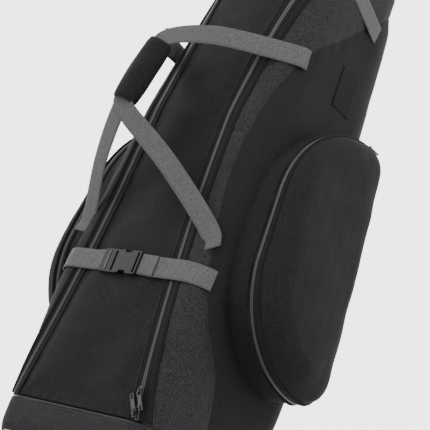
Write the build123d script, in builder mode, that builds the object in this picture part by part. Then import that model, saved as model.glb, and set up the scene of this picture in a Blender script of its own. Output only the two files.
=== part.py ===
"""A padded golf travel case with two wheels, standing upright on its base.

+Z is up, the opening lid faces -Y, and the origin lies on the floor under the base.
The soft shell is a stack of rounded rectangles joined by straight walls. Every layer
of the shell is the same form drawn in by a little more, and every panel is a piece
of one layer cut out by its seams.
"""

import os
from math import atan2, degrees, sqrt

from build123d import *

os.makedirs("parts", exist_ok=True)

# ---- the case's outer form, millimetres ----
BASE_LOW = 8
BEVEL_TOP = 22
BASE_SEAM = 72
CROSS_SEAM = 616
CASE_TOP = 1298
FRONT_LEAN = 0.0315  # how far the front leans forward for each millimetre of height
FRONT_AT_FLOOR = 137.5
LEAN_TOP = 650


def lower_front(height):
    """Distance of the flat lower front from the middle plane."""
    return FRONT_AT_FLOOR + FRONT_LEAN * height


# height, half width, front distance, back distance, corner radius
STATIONS = [
    (BASE_LOW, 182, lower_front(BASE_LOW) - 5, 163, 42),
    (BEVEL_TOP, 187, lower_front(BEVEL_TOP), 177, 46),
    (300, 191, lower_front(300), 172, 50),
    (LEAN_TOP, 175, lower_front(LEAN_TOP), 158, 84),
    (1000, 142, 131, 143, 98),
    (1230, 104, 99, 105, 84),
    (1280, 70, 66, 70, 60),
    (CASE_TOP, 36, 34, 36, 32),
]

# ---- shell layers, as depths below the outer face ----
SKIN = 2
TRAY_DEPTH = 5
PADDING = 8
LINING = 9.5

# ---- the lid and its zip ----
LID_LOW = 74
LID_SHOULDER = 1080
LID_TOP = 1190
ZIP_WAIST = 94  # half the zip spacing where it is narrowest
ZIP_WAIST_HEIGHT = 720
ZIP_RADIUS = 3200
COIL_HALF_GAP = 0.5
COIL_WIDTH = 2.4
COIL_PROUD = 1.6
TAPE_WIDTH = 12

# ---- wheels ----
WHEEL_RADIUS = 31
WHEEL_WIDTH = 24
WHEEL_X = 146
WHEEL_Y = 150
WHEEL_Z = 33
HUB_RADIUS = 19
BEARING_OUTER = 11
AXLE_RADIUS = 4
RUNNING_GAP = 0.05

# ---- webbing and buckles ----
WEBBING_WIDTH = 38
WEBBING_THICK = 2.2
STRAP_INNER = 2.2  # how far the straps stand off the case
STRAP_OUTER = STRAP_INNER + WEBBING_THICK
BUCKLE_WIDTH = 44
BUCKLE_THICK = 12.5

# ---- side pockets: outline on the side of the case, then the zip line around the rim ----
POCKET_FRONT = -105
POCKET_BACK = 130
POCKET_LOW = 217
POCKET_HIGH = 720
POCKET_FRONT_RADIUS = 190
POCKET_BACK_RADIUS = 42
POCKET_BASE_LEAN = 0.0455
POCKET_RIM_LEAN = 0.1
POCKET_RIM_X = 236  # the rim plane's distance from the middle at mid height
POCKET_WALL = 3
POCKET_RIM_INSET = 3
# inset, height above the rim plane and lean of each ring of the domed lid, which hangs low
POCKET_DOME_OUTER = ((3, 2.7, 0.1), (8, 20, 0.13), (19, 37, 0.17), (39, 50, 0.2))
POCKET_DOME_INNER = ((6, 2.7, 0.1), (12, 17, 0.13), (23, 33, 0.17), (40, 46, 0.2))


def save(builder, name):
    """Label a finished piece and write it as its own STEP file."""
    builder.part.label = name
    export_step(builder.part, f"parts/{name}.step")


def station(height):
    """Half width, front distance, back distance and corner radius at a height."""
    for low, high in zip(STATIONS, STATIONS[1:]):
        if height <= high[0]:
            share = (height - low[0]) / (high[0] - low[0])
            return [a + (b - a) * share for a, b in zip(low[1:], high[1:])]
    return list(STATIONS[-1][1:])


def case_form(inset):
    """The whole case as one solid, drawn in by inset on every side."""
    with BuildPart() as form:
        for height, half_width, front, back, corner in STATIONS:
            level = min(max(height, BASE_LOW + inset), CASE_TOP - inset)
            with BuildSketch(Plane.XY.offset(level)):
                with Locations((0, (back - front) / 2)):
                    RectangleRounded(
                        2 * (half_width - inset), front + back - 2 * inset, corner - inset
                    )
        loft(ruled=True)
    return form.part


FORMS = {
    inset: case_form(inset)
    for inset in (-STRAP_OUTER, -STRAP_INNER, -COIL_PROUD, 0, SKIN, TRAY_DEPTH, PADDING, LINING)
}


def layer(outer, inner):
    """The closed shell between two depths."""
    with BuildPart() as shell:
        add(FORMS[outer])
        add(FORMS[inner], mode=Mode.SUBTRACT)
    return shell.part


SKIN_LAYER = layer(0, SKIN)
PADDING_LAYER = layer(SKIN, PADDING)
LINING_LAYER = layer(PADDING, LINING)
COIL_LAYER = layer(-COIL_PROUD, SKIN)


def zip_x(height, margin=0):
    """Half the lid's width at a height, grown by margin."""
    drop = height - ZIP_WAIST_HEIGHT
    radius = ZIP_RADIUS - margin
    return ZIP_WAIST + ZIP_RADIUS - sqrt(radius**2 - drop**2)


def lid_prism(margin):
    """The lid's outline grown by margin, cut straight through the front of the case."""
    low = LID_LOW if margin <= 0 else BASE_SEAM
    middle = (low + LID_SHOULDER) / 2
    with BuildPart() as prism:
        with BuildSketch(Plane.XZ):
            with BuildLine():
                right = ThreePointArc(
                    (zip_x(low, margin), low),
                    (zip_x(middle, margin), middle),
                    (zip_x(LID_SHOULDER, margin), LID_SHOULDER),
                )
                crown = ThreePointArc(
                    right @ 1,
                    (0, LID_TOP + margin),
                    (-zip_x(LID_SHOULDER, margin), LID_SHOULDER),
                )
                left = ThreePointArc(
                    crown @ 1,
                    (-zip_x(middle, margin), middle),
                    (-zip_x(low, margin), low),
                )
                Line(left @ 1, right @ 0)
            make_face()
        extrude(amount=260)
    return prism.part


TAPE_MARGIN = COIL_HALF_GAP + COIL_WIDTH
PANEL_MARGIN = TAPE_MARGIN + TAPE_WIDTH
PRISM = {
    margin: lid_prism(margin)
    for margin in (
        COIL_HALF_GAP,
        TAPE_MARGIN,
        PANEL_MARGIN,
        -COIL_HALF_GAP,
        -TAPE_MARGIN,
        -PANEL_MARGIN,
    )
}

# ---- the lid: outer panel, padding, lining, and the zip half that goes with it ----
with BuildPart() as lid_panel:
    add(SKIN_LAYER)
    add(PRISM[-PANEL_MARGIN], mode=Mode.INTERSECT)
save(lid_panel, "lid_panel")

with BuildPart() as lid_padding:
    add(PADDING_LAYER)
    add(PRISM[-PANEL_MARGIN], mode=Mode.INTERSECT)
save(lid_padding, "lid_padding")

with BuildPart() as lid_lining:
    add(LINING_LAYER)
    add(PRISM[-PANEL_MARGIN], mode=Mode.INTERSECT)
save(lid_lining, "lid_lining")

with BuildPart() as lid_zip_tape:
    add(SKIN_LAYER)
    add(PRISM[-TAPE_MARGIN], mode=Mode.INTERSECT)
    add(PRISM[-PANEL_MARGIN], mode=Mode.SUBTRACT)
save(lid_zip_tape, "lid_zip_tape")

with BuildPart() as lid_zip_coil:
    add(COIL_LAYER)
    add(PRISM[-COIL_HALF_GAP], mode=Mode.INTERSECT)
    add(PRISM[-TAPE_MARGIN], mode=Mode.SUBTRACT)
save(lid_zip_coil, "lid_zip_coil")

with BuildPart() as above_base:
    with Locations((0, 0, BASE_SEAM)):
        Box(600, 600, 1400, align=(Align.CENTER, Align.CENTER, Align.MIN))

with BuildPart() as body_zip_tape:
    add(SKIN_LAYER)
    add(PRISM[PANEL_MARGIN], mode=Mode.INTERSECT)
    add(PRISM[TAPE_MARGIN], mode=Mode.SUBTRACT)
save(body_zip_tape, "body_zip_tape")

with BuildPart() as body_zip_coil:
    add(COIL_LAYER)
    add(PRISM[TAPE_MARGIN], mode=Mode.INTERSECT)
    add(PRISM[COIL_HALF_GAP], mode=Mode.SUBTRACT)
save(body_zip_coil, "body_zip_coil")

# ---- padding and lining of the body ----
with BuildPart() as body_padding:
    add(PADDING_LAYER)
    add(above_base.part, mode=Mode.INTERSECT)
    add(PRISM[PANEL_MARGIN], mode=Mode.SUBTRACT)
save(body_padding, "body_padding")

with BuildPart() as body_lining:
    add(LINING_LAYER)
    add(above_base.part, mode=Mode.INTERSECT)
    add(PRISM[PANEL_MARGIN], mode=Mode.SUBTRACT)
save(body_lining, "body_lining")

# ---- outer panels of the body, cut by the seams ----
# The strip seam climbs the front corner and then runs back over the side, seen from the side.
STRIP_SEAM = (
    (14, 72),
    (-32, 200),
    (-116, 304),
    (-144, 500),
    (-135, 676),
    (-86, 812),
    (-27, 880),
    (77, 992),
    (180, 1075),
)
BACK_HALF_LOW = 128
BACK_HALF_HIGH = 58
BACK_TOP = 1120

with BuildPart() as side_region:
    with BuildSketch(Plane.YZ):
        with BuildLine():
            seam = Spline(*STRIP_SEAM)
            Polyline(seam @ 1, (240, 1075), (240, 72), seam @ 0)
        make_face()
    extrude(amount=300, both=True)

with BuildPart() as back_region:
    with BuildSketch(Plane.XZ.offset(-60)):
        with BuildLine():
            Polyline(
                (-BACK_HALF_LOW, BASE_SEAM),
                (BACK_HALF_LOW, BASE_SEAM),
                (BACK_HALF_HIGH, BACK_TOP),
                (-BACK_HALF_HIGH, BACK_TOP),
                close=True,
            )
        make_face()
    extrude(amount=-200)

with BuildPart() as body_skin:
    add(SKIN_LAYER)
    add(above_base.part, mode=Mode.INTERSECT)
    add(PRISM[PANEL_MARGIN], mode=Mode.SUBTRACT)

with BuildPart() as back_panel:
    add(body_skin.part)
    add(back_region.part, mode=Mode.INTERSECT)
save(back_panel, "back_panel")

with BuildPart() as below_cross:
    with Locations((0, 0, CROSS_SEAM)):
        Box(600, 600, 1000, align=(Align.CENTER, Align.CENTER, Align.MAX))

for side, direction in (("right", 1), ("left", -1)):
    with BuildPart() as half_space:
        with Locations((direction * 300, 0, 600)):
            Box(600, 600, 1600)

    with BuildPart() as half_skin:
        add(body_skin.part)
        add(half_space.part, mode=Mode.INTERSECT)
        add(back_region.part, mode=Mode.SUBTRACT)

    with BuildPart() as side_panel:
        add(half_skin.part)
        add(side_region.part, mode=Mode.INTERSECT)
    save(side_panel, f"side_panel_{side}")

    with BuildPart() as front_strip:
        add(half_skin.part)
        add(side_region.part, mode=Mode.SUBTRACT)
        add(below_cross.part, mode=Mode.INTERSECT)
    save(front_strip, f"front_strip_{side}")

    with BuildPart() as hood_panel:
        add(half_skin.part)
        add(side_region.part, mode=Mode.SUBTRACT)
        add(below_cross.part, mode=Mode.SUBTRACT)
    save(hood_panel, f"hood_panel_{side}")

# ---- the moulded base, its fabric band and the wheel housings ----
HOUSING_GAP = 0.3
HOUSING_INNER_X = 106
HOUSING_FRONT_Y = 108
HOUSING_TOP = 71
HOUSING_PROUD = 1.6
WELL_RADIUS = 34.5
WELL_WIDTH = 30
PAD_TOP = 21
SLOT_HEIGHTS = (34, 52)
SLOT_LENGTH = 17
SLOT_WIDTH = 9
SLOT_DEEP = 5
AXLE_LENGTH = WELL_WIDTH + 16
HUB_WIDTH = WHEEL_WIDTH - 2
BEARING_WIDTH = 7


def housing_block(gap):
    """The two back corners of the base that the wheel housings fill, grown by gap."""
    with BuildPart() as block:
        with Locations((HOUSING_INNER_X - gap, HOUSING_FRONT_Y - gap, 0)):
            Box(160, 160, HOUSING_TOP + gap, align=(Align.MIN, Align.MIN, Align.MIN))
        with Locations((gap - HOUSING_INNER_X, HOUSING_FRONT_Y - gap, 0)):
            Box(160, 160, HOUSING_TOP + gap, align=(Align.MAX, Align.MIN, Align.MIN))
    return block.part


def below(height):
    """Everything lower than a height."""
    with BuildPart() as space:
        with Locations((0, 0, height)):
            Box(600, 600, 200, align=(Align.CENTER, Align.CENTER, Align.MAX))
    return space.part


CUT_HOUSINGS = housing_block(HOUSING_GAP)
BELOW_SEAM = below(BASE_SEAM)

with BuildPart() as base_tray:
    add(FORMS[SKIN])
    add(FORMS[TRAY_DEPTH], mode=Mode.SUBTRACT)
    add(BELOW_SEAM, mode=Mode.INTERSECT)
    add(CUT_HOUSINGS, mode=Mode.SUBTRACT)
save(base_tray, "base_tray")

with BuildPart() as base_band:
    add(SKIN_LAYER)
    add(BELOW_SEAM, mode=Mode.INTERSECT)
    add(CUT_HOUSINGS, mode=Mode.SUBTRACT)
save(base_band, "base_band")

with BuildPart() as floor_pad:
    add(FORMS[TRAY_DEPTH])
    add(below(PAD_TOP), mode=Mode.INTERSECT)
    add(CUT_HOUSINGS, mode=Mode.SUBTRACT)
save(floor_pad, "floor_pad")

with BuildPart() as proud_base:
    for height in (BASE_LOW, BEVEL_TOP, BASE_SEAM):
        half_width, front, back, corner = station(height)
        with BuildSketch(Plane.XY.offset(height)):
            with Locations((0, (back - front) / 2)):
                RectangleRounded(
                    2 * (half_width + HOUSING_PROUD),
                    front + back + 2 * HOUSING_PROUD,
                    corner + HOUSING_PROUD,
                )
    loft(ruled=True)

BLOCKS = housing_block(0)
BACK_OF_BASE = station(BASE_SEAM)[2] + HOUSING_PROUD

for side, direction in (("right", 1), ("left", -1)):
    wheel_plane = Plane(
        origin=(direction * WHEEL_X, WHEEL_Y, WHEEL_Z), x_dir=(0, 1, 0), z_dir=(1, 0, 0)
    )
    slot_plane = Plane(
        origin=(direction * WHEEL_X, BACK_OF_BASE, 0), x_dir=(1, 0, 0), z_dir=(0, -1, 0)
    )
    with BuildPart() as wheel_housing:
        add(proud_base.part)
        add(BLOCKS, mode=Mode.INTERSECT)
        with Locations((-direction * 300, 0, 0)):
            Box(600, 600, 600, mode=Mode.SUBTRACT)
        with BuildSketch(wheel_plane):
            Circle(WELL_RADIUS)
            with Locations((60, 0)):
                Rectangle(120, 2 * WELL_RADIUS)
            with Locations((0, -30)):
                Rectangle(2 * WELL_RADIUS, 60)
        extrude(amount=WELL_WIDTH / 2, both=True, mode=Mode.SUBTRACT)
        with BuildSketch(wheel_plane):
            Circle(AXLE_RADIUS)
        extrude(amount=AXLE_LENGTH / 2, both=True, mode=Mode.SUBTRACT)
        with BuildSketch(slot_plane):
            with Locations(*[(-direction * 28, height) for height in SLOT_HEIGHTS]):
                SlotOverall(SLOT_LENGTH, SLOT_WIDTH)
        extrude(amount=SLOT_DEEP, mode=Mode.SUBTRACT)
    save(wheel_housing, f"wheel_housing_{side}")

    with BuildPart() as wheel_tyre:
        with BuildSketch(wheel_plane):
            Circle(WHEEL_RADIUS)
            Circle(HUB_RADIUS, mode=Mode.SUBTRACT)
        extrude(amount=WHEEL_WIDTH / 2, both=True)
        circles = wheel_tyre.edges().filter_by(GeomType.CIRCLE)
        fillet(circles.filter_by(lambda edge: edge.radius > HUB_RADIUS + 1), 8)
    save(wheel_tyre, f"wheel_tyre_{side}")

    with BuildPart() as wheel_hub:
        with BuildSketch(wheel_plane):
            Circle(HUB_RADIUS)
            Circle(BEARING_OUTER, mode=Mode.SUBTRACT)
            with PolarLocations(HUB_RADIUS - 4, 5):
                Circle(2, mode=Mode.SUBTRACT)
        extrude(amount=HUB_WIDTH / 2, both=True)
    save(wheel_hub, f"wheel_hub_{side}")

    with BuildPart() as wheel_bearings:
        for start in (-HUB_WIDTH / 2, HUB_WIDTH / 2 - BEARING_WIDTH):
            with BuildSketch(wheel_plane.offset(start)):
                Circle(BEARING_OUTER)
                Circle(AXLE_RADIUS + RUNNING_GAP, mode=Mode.SUBTRACT)
            extrude(amount=BEARING_WIDTH)
    save(wheel_bearings, f"wheel_bearings_{side}")

    with BuildPart() as axle:
        with BuildSketch(wheel_plane):
            Circle(AXLE_RADIUS)
        extrude(amount=AXLE_LENGTH / 2, both=True)
    save(axle, f"axle_{side}")

# ---- runners under the base ----
RUNNER_X = 88
RUNNER_Y = -8
RUNNER_WIDTH = 22
RUNNER_LENGTH = 190
with BuildPart() as base_runners:
    with Locations((RUNNER_X, RUNNER_Y, 0), (0, RUNNER_Y, 0), (-RUNNER_X, RUNNER_Y, 0)):
        Box(
            RUNNER_WIDTH, RUNNER_LENGTH, BASE_LOW, align=(Align.CENTER, Align.CENTER, Align.MIN)
        )
    fillet(base_runners.edges().filter_by(Axis.Z), 8)
    chamfer(base_runners.faces().filter_by(Plane.XY).group_by(Axis.Z)[0].edges(), 2)
save(base_runners, "base_runners")

# ---- sliders and pulls of the main zip ----
FRONT_NORMAL = (0, -1, -FRONT_LEAN)
SLIDER_LIFT = COIL_PROUD + 0.4
SLIDER_PLATE = 2
SLIDER_LENGTH = 18
SLIDER_WIDTH = 10
BAIL_CENTRE = -1.5  # where the pull turns, along the slider
BAIL_REACH = 4.5  # from the pull's turning line to each post of the bail
BAIL_ROOM = 4
BAIL_BAR = 1.2
POST_WIDTH = 2.2
POST_LENGTH = 2
PULL_THICK = 2
PULL_ROOT_WIDTH = 10
PULL_ROOT_LENGTH = 9
PULL_WIDTH = 8
PULL_LENGTH = 36
CROSSBAR = 1.6
# name, height on the zip, turn of the pull away from the zip's upward direction
MAIN_SLIDERS = (("upper", 122, -156), ("lower", 86, 24))



def turned(angle):
    """The sideways direction turned anticlockwise within the front face."""
    return Vector(1, 0, 0).rotate(Axis((0, 0, 0), FRONT_NORMAL), angle)


for name, height, turn in MAIN_SLIDERS:
    slope = degrees(atan2(ZIP_WAIST_HEIGHT - height, ZIP_RADIUS))
    face = Plane(
        origin=(zip_x(height), -lower_front(height), height),
        x_dir=turned(slope),
        z_dir=FRONT_NORMAL,
    )
    deck = face.offset(SLIDER_LIFT)
    posts = [(0, BAIL_CENTRE - BAIL_REACH), (0, BAIL_CENTRE + BAIL_REACH)]
    with BuildPart() as slider:
        with BuildSketch(deck):
            Trapezoid(SLIDER_WIDTH, SLIDER_LENGTH, 84)
        extrude(amount=SLIDER_PLATE)
        with BuildSketch(deck.offset(SLIDER_PLATE)):
            with Locations(*posts):
                Rectangle(POST_WIDTH, POST_LENGTH)
        extrude(amount=BAIL_ROOM)
        with BuildSketch(deck.offset(SLIDER_PLATE + BAIL_ROOM)):
            with Locations((0, BAIL_CENTRE)):
                Rectangle(POST_WIDTH, 2 * BAIL_REACH + POST_LENGTH)
        extrude(amount=BAIL_BAR)
    save(slider, f"main_slider_{name}")

    pull_level = SLIDER_PLATE + (BAIL_ROOM - PULL_THICK) / 2
    pull_plane = Plane(
        origin=deck.from_local_coords(Vector(0, BAIL_CENTRE, pull_level)),
        x_dir=turned(slope + turn),
        z_dir=FRONT_NORMAL,
    )
    with BuildPart() as pull:
        with BuildSketch(pull_plane):
            with Locations((0, PULL_ROOT_LENGTH / 2 - CROSSBAR / 2)):
                Rectangle(PULL_ROOT_WIDTH, PULL_ROOT_LENGTH)
            with Locations((0, PULL_LENGTH / 2 + PULL_ROOT_LENGTH / 2)):
                RectangleRounded(PULL_WIDTH, PULL_LENGTH - PULL_ROOT_LENGTH + 2, 2.5)
            with Locations((0, PULL_ROOT_LENGTH / 2 - CROSSBAR / 4)):
                Rectangle(7.2, PULL_ROOT_LENGTH - 2.5 * CROSSBAR, mode=Mode.SUBTRACT)
            with Locations((0, PULL_LENGTH - 5)):
                SlotOverall(11, 3.5, rotation=90, mode=Mode.SUBTRACT)
        extrude(amount=PULL_THICK)
    save(pull, f"main_pull_{name}")

# ---- compression straps with side-release buckles ----
FEMALE_LENGTH = 50
MALE_LENGTH = 46
PRONG_REACH = 27
PRONG_SPREAD = 12
PRONG_TIP = 14.6
CAVITY_DEPTH = 33
CAVITY_HALF = 18
CAVITY_THICK = 7
PLATE_THICK = 5
BAR_SLOT = 4.5
SLOT_ACROSS = WEBBING_WIDTH + 0.6
# name, height at the front, backward fall of the strap, x between the buckle's halves,
# y of the sewn ends on the sides
STRAPS = (("lower", 340, 0, -11, -118), ("upper", 1030, 0.436, -45, 60))


def strap_band(height, fall, start_x, end_y, direction):
    """One side's strap: flat across the front, round the corner and back along the side."""
    tilt = Plane(origin=(0, -station(height)[1], height), x_dir=(1, 0, 0), z_dir=(0, fall, 1))
    with BuildPart(tilt) as slab:
        Box(600, 900, WEBBING_WIDTH)
    with BuildPart() as band:
        add(FORMS[-STRAP_OUTER])
        add(FORMS[-STRAP_INNER], mode=Mode.SUBTRACT)
        add(slab.part, mode=Mode.INTERSECT)
        with Locations((direction * (start_x + 300), end_y - 400, 650)):
            Box(600, 800, 1400, mode=Mode.INTERSECT)
    return band


for name, height, fall, split_x, end_y in STRAPS:
    lean = (station(height + 10)[1] - station(height - 10)[1]) / 20
    face = Plane(
        origin=(split_x, -station(height)[1], height), x_dir=(1, 0, 0), z_dir=(0, -1, -lean)
    )
    middle = face.offset(STRAP_OUTER + 0.3 + BUCKLE_THICK / 2)
    outward = Axis(face.origin, face.z_dir)

    with BuildPart() as female:
        with BuildSketch(middle.offset(-BUCKLE_THICK / 2)):
            with Locations((FEMALE_LENGTH / 2, 0)):
                RectangleRounded(FEMALE_LENGTH, BUCKLE_WIDTH, 4)
        extrude(amount=BUCKLE_THICK)
        fillet(female.faces().sort_by(outward)[-1].edges(), 1.5)
        with BuildSketch(middle.offset(-CAVITY_THICK / 2)):
            with Locations((CAVITY_DEPTH / 2 - 1, 0)):
                Rectangle(CAVITY_DEPTH + 2, 2 * CAVITY_HALF)
        extrude(amount=CAVITY_THICK, mode=Mode.SUBTRACT)
        with BuildSketch(middle.offset(-CAVITY_THICK / 2)):
            with Locations((17, BUCKLE_WIDTH / 2), (17, -BUCKLE_WIDTH / 2)):
                RectangleRounded(17, 10, 3)
        extrude(amount=BUCKLE_THICK, mode=Mode.SUBTRACT)
        with BuildSketch(middle.offset(-BUCKLE_THICK)):
            with Locations((FEMALE_LENGTH - 6, 0)):
                Rectangle(BAR_SLOT, SLOT_ACROSS)
        extrude(amount=2 * BUCKLE_THICK, mode=Mode.SUBTRACT)
    save(female, f"{name}_buckle_female")

    with BuildPart() as male:
        with BuildSketch(middle.offset(-PLATE_THICK / 2)):
            with Locations((-0.5 - MALE_LENGTH / 2, 0)):
                RectangleRounded(MALE_LENGTH, BUCKLE_WIDTH, 3)
            with Locations((-15, 0), (-31, 0)):
                Rectangle(BAR_SLOT, SLOT_ACROSS, mode=Mode.SUBTRACT)
            with Locations((PRONG_REACH / 2 - 2, 0)):
                Rectangle(PRONG_REACH, 6)
            with Locations(
                (PRONG_REACH / 2 - 2, PRONG_SPREAD), (PRONG_REACH / 2 - 2, -PRONG_SPREAD)
            ):
                Rectangle(PRONG_REACH, 6)
            with Locations((17, PRONG_TIP), (17, -PRONG_TIP)):
                RectangleRounded(12, 5.6, 1.5)
        extrude(amount=PLATE_THICK)
    save(male, f"{name}_buckle_male")

    right_start = split_x + FEMALE_LENGTH - 8
    save(strap_band(height, fall, right_start, end_y, 1), f"{name}_strap_right")
    left_start = MALE_LENGTH + 2 - split_x
    save(strap_band(height, fall, left_start, end_y, -1), f"{name}_strap_left")

# ---- carry handle: a webbing loop each side, joined by a padded wrap ----
WRAP_LOW = Vector(-56, -268, 603)
WRAP_HIGH = Vector(-26, -268, 725)
WRAP_WIDE = 56
WRAP_DEEP = 46
WRAP_SLOT = 9
GRIP_OFFSET = 2.2
ANCHOR_STAND_OFF = 4
LOOP_ANCHORS = ((163, 425), (154, 785))  # x and height of the lower and upper anchor
# side, direction, reach of the straight grip below the wrap, reach above it
LOOPS = (("right", 1, 20, 20), ("left", -1, 45, 62))


def ribbon(start, end):
    """A flat strap between two points, facing forward."""
    along = end - start
    facing = along.cross(Vector(0, 1, 0)).cross(along)
    with BuildPart(Plane(origin=(start + end) * 0.5, x_dir=along, z_dir=facing)) as run:
        Box(along.length, WEBBING_WIDTH, WEBBING_THICK)
    return run.part


wrap_axis = (WRAP_HIGH - WRAP_LOW).normalized()
with BuildPart() as handle_wrap:
    with BuildSketch(Plane(origin=WRAP_LOW, x_dir=(0, -1, 0), z_dir=wrap_axis)):
        Ellipse(WRAP_DEEP / 2, WRAP_WIDE / 2)
        Rectangle(WRAP_SLOT, WEBBING_WIDTH + 2, mode=Mode.SUBTRACT)
    extrude(amount=(WRAP_HIGH - WRAP_LOW).length)
save(handle_wrap, "handle_wrap")

for side, direction, reach_low, reach_high in LOOPS:
    shift = Vector(0, direction * GRIP_OFFSET, 0)
    grip_low = WRAP_LOW + shift - wrap_axis * reach_low
    grip_high = WRAP_HIGH + shift + wrap_axis * reach_high
    ends = []
    for anchor_x, anchor_z in LOOP_ANCHORS:
        half_width, front, back, corner = station(anchor_z)
        bend = anchor_x - (half_width - corner)
        surface_y = corner - front - sqrt(corner**2 - bend**2)
        ends.append(Vector(direction * anchor_x, surface_y - ANCHOR_STAND_OFF, anchor_z))
    with BuildPart() as loop:
        add(ribbon(grip_low, grip_high))
        add(ribbon(ends[0], grip_low))
        add(ribbon(grip_high, ends[1]))
        add(FORMS[-STRAP_INNER], mode=Mode.SUBTRACT)
    save(loop, f"handle_loop_{side}")

# ---- grab handle at the top of the back ----
GRAB_LOW = 1130
GRAB_HIGH = 1216
GRAB_BULGE = 46
GRAB_THICK = 6
GRAB_WIDTH = 30
grab_low_y = station(GRAB_LOW)[2] - 1
grab_high_y = station(GRAB_HIGH)[2] - 1
grab_out = (grab_low_y + grab_high_y) / 2 + GRAB_BULGE
grab_middle = (GRAB_LOW + GRAB_HIGH) / 2
with BuildPart() as top_grab_handle:
    with BuildSketch(Plane.YZ):
        with BuildLine():
            outer_arc = ThreePointArc(
                (grab_low_y, GRAB_LOW), (grab_out, grab_middle), (grab_high_y, GRAB_HIGH)
            )
            inner_arc = ThreePointArc(
                (grab_high_y, GRAB_HIGH - GRAB_THICK),
                (grab_out - GRAB_THICK, grab_middle),
                (grab_low_y, GRAB_LOW + GRAB_THICK),
            )
            Line(outer_arc @ 1, inner_arc @ 0)
            Line(inner_arc @ 1, outer_arc @ 0)
        make_face()
    extrude(amount=GRAB_WIDTH / 2, both=True)
    add(FORMS[0], mode=Mode.SUBTRACT)
save(top_grab_handle, "top_grab_handle")

# ---- plain woven badge on the right side ----
BADGE_Y = 22
BADGE_Z = 800
BADGE_WIDTH = 52
BADGE_HEIGHT = 84
badge_lean = (station(LEAN_TOP)[0] - station(1000)[0]) / (1000 - LEAN_TOP)
badge_plane = Plane(
    origin=(station(BADGE_Z)[0], BADGE_Y, BADGE_Z), x_dir=(0, 1, 0), z_dir=(1, 0, badge_lean)
)
with BuildPart() as side_badge:
    with BuildSketch(badge_plane):
        RectangleRounded(BADGE_WIDTH, BADGE_HEIGHT, 8)
    extrude(amount=1)
save(side_badge, "side_badge")

# ---- side pockets: a wall around, a domed lid, and a zip between them ----
POCKET_MIDDLE_Y = (POCKET_FRONT + POCKET_BACK) / 2
POCKET_MIDDLE_Z = (POCKET_LOW + POCKET_HIGH) / 2
POCKET_HALF = (POCKET_HIGH - POCKET_LOW) / 2
POCKET_ROOT_X = 120
ARC_Y = POCKET_FRONT + POCKET_FRONT_RADIUS - POCKET_MIDDLE_Y
ARC_Z = POCKET_HALF - POCKET_FRONT_RADIUS
POCKET_COIL = 2.4
POCKET_COIL_GAP = 0.3
POCKET_COIL_OUT = 1.8  # inset of the coil's outer face
POCKET_COIL_IN = POCKET_RIM_INSET + POCKET_WALL
RIM_EDGE = POCKET_COIL_GAP + POCKET_COIL
POCKET_SLIDER_LENGTH = 18
POCKET_SLIDER_HALF = 5
POCKET_SLIDER_LOW = POCKET_HALF - 1
POCKET_SLIDER_THICK = 2
LUG_INNER = 3.7
LUG_THICK = 1.2
LUG_HEIGHT = 4.4
LUG_LENGTH = 4.4
PIN_HEIGHT = 2.3
PIN_RADIUS = 0.8
POCKET_PULL_HALF = 3.5
POCKET_PULL_LENGTH = 30
POCKET_PULL_ROOT = 1.8


def pocket_plane(direction, distance, lean):
    """A plane facing sideways at mid pocket height, leaning in towards the top."""
    return Plane(
        origin=(direction * distance, POCKET_MIDDLE_Y, POCKET_MIDDLE_Z),
        x_dir=(0, direction, 0),
        z_dir=(direction, 0, lean),
    )


def pocket_outline(plane, inset, direction):
    """The pocket's outline drawn in by inset: wide curves in front, tight ones behind."""
    with BuildSketch(plane) as outline:
        Rectangle(POCKET_BACK - POCKET_FRONT - 2 * inset, 2 * (POCKET_HALF - inset))
        corners = outline.vertices()
        fillet(corners.filter_by(lambda v: v.X * direction < 0), POCKET_FRONT_RADIUS - inset)
        fillet(
            corners.filter_by(lambda v: v.X * direction > 0), max(POCKET_BACK_RADIUS - inset, 1)
        )
    return outline.sketch


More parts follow.
